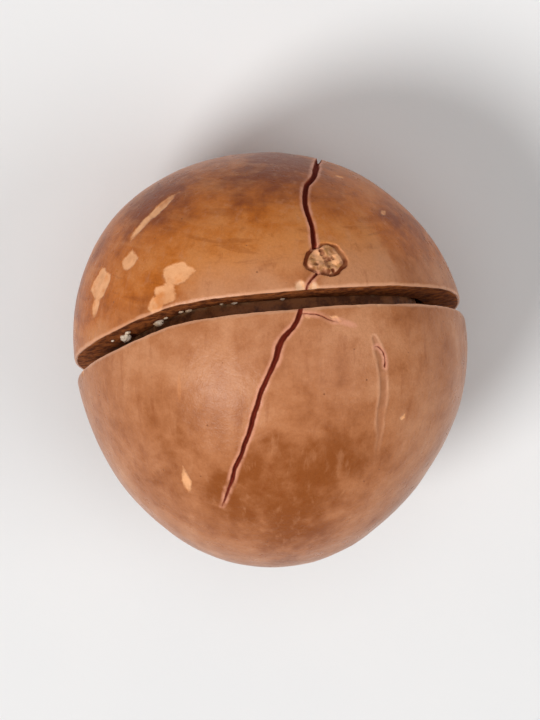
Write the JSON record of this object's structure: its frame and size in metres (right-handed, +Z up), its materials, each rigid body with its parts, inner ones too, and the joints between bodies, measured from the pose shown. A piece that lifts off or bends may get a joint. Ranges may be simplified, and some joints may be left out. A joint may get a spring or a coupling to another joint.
{
  "type": "macadamia nut in shell",
  "caption": "Roasted macadamia nut in its round brown shell, sawn part of the way round for opening, with cracks, a stalk scar and the cream kernel inside.",
  "frame": {"origin": "centre of the small flat spot that the nut rests on, below the nut", "axes": "+Z up, +Y towards the blunt end above the saw cut, +X to the right when the cut is seen from above"},
  "size_m": [0.0246, 0.0259, 0.0244],
  "materials": {
    "shell": "smooth roasted nutshell with a satin sheen",
    "kernel": "dull, slightly oily seed flesh"
  },
  "bodies": {
    "root": {"shell": "shell", "kernel": "kernel"}
  },
  "joints": []
}
